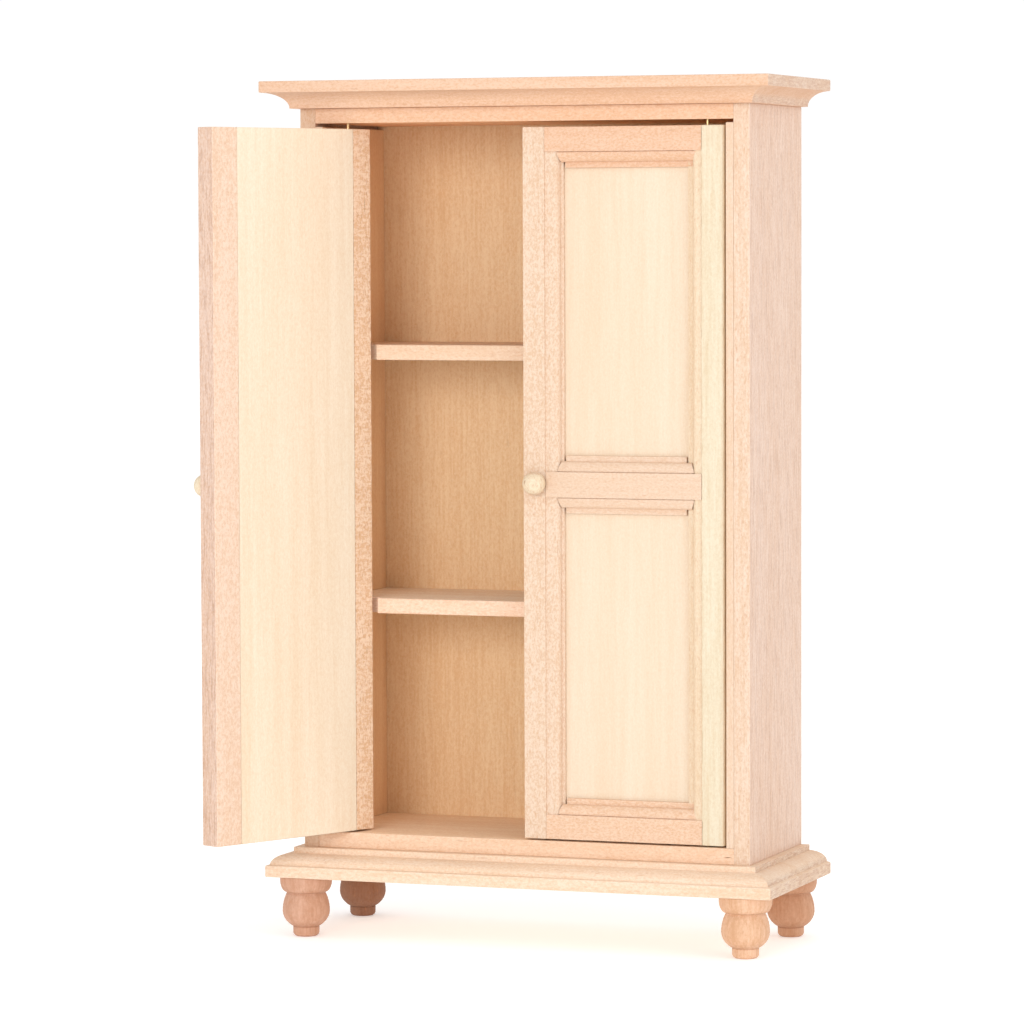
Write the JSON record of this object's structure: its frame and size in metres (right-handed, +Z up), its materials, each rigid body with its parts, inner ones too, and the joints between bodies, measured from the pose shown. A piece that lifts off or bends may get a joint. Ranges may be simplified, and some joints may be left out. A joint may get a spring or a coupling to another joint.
{
  "type": "miniature wardrobe",
  "caption": "Dolls-house wardrobe in bare wood: a shelved cupboard with panelled doors on pivot pins, a coved cornice, a moulded base and turned feet.",
  "frame": {"origin": "middle of the footprint at floor level, with the left door standing open and the right door closed", "axes": "+Z up, +Y out of the back, +X towards the right-hand side seen from the front"},
  "size_m": [0.1188, 0.0718, 0.1825],
  "materials": {
    "hardwood": "unfinished, sanded, fine pink-brown pores",
    "plywood": "unfinished thin birch plywood, faint vertical grain",
    "limewood": "unfinished pale yellow strip wood",
    "turned_wood": "unfinished, lathe turned, upright grain",
    "knob_wood": "unfinished turned bead",
    "pin_brass": "drawn wire"
  },
  "bodies": {
    "carcass": {"side_panel_left": "hardwood", "side_liner_left": "hardwood", "side_panel_right": "hardwood", "side_liner_right": "hardwood", "top_board": "hardwood", "floor_board": "hardwood", "shelf_lower": "hardwood", "shelf_upper": "hardwood", "cornice_board": "hardwood", "base_board": "hardwood", "back_panel": "plywood", "foot_front_left": "turned_wood", "foot_rear_left": "turned_wood", "foot_front_right": "turned_wood", "foot_rear_right": "turned_wood"},
    "left_door": {"left_door_free_stile": "hardwood", "left_door_hinge_post": "limewood", "left_door_hinge_moulding": "hardwood", "left_door_top_rail": "hardwood", "left_door_mid_rail": "hardwood", "left_door_bottom_rail": "hardwood", "left_door_panel": "plywood", "left_door_knob": "knob_wood", "left_door_top_pin": "pin_brass", "left_door_bottom_pin": "pin_brass"},
    "right_door": {"right_door_free_stile": "hardwood", "right_door_hinge_post": "limewood", "right_door_hinge_moulding": "hardwood", "right_door_top_rail": "hardwood", "right_door_mid_rail": "hardwood", "right_door_bottom_rail": "hardwood", "right_door_panel": "plywood", "right_door_knob": "knob_wood", "right_door_top_pin": "pin_brass", "right_door_bottom_pin": "pin_brass"}
  },
  "joints": [
    {"name": "left_door_hinge", "type": "hinge", "parent": "carcass", "child": "left_door", "pos_m": [-0.03717, 0.00121, 0.09765], "axis": [0, 0, -1], "range_deg": [-115.7, 4.3]},
    {"name": "right_door_hinge", "type": "hinge", "parent": "carcass", "child": "right_door", "pos_m": [0.04303, 0.00121, 0.09765], "axis": [0, 0, 1], "range_deg": [0, 120]}
  ]
}
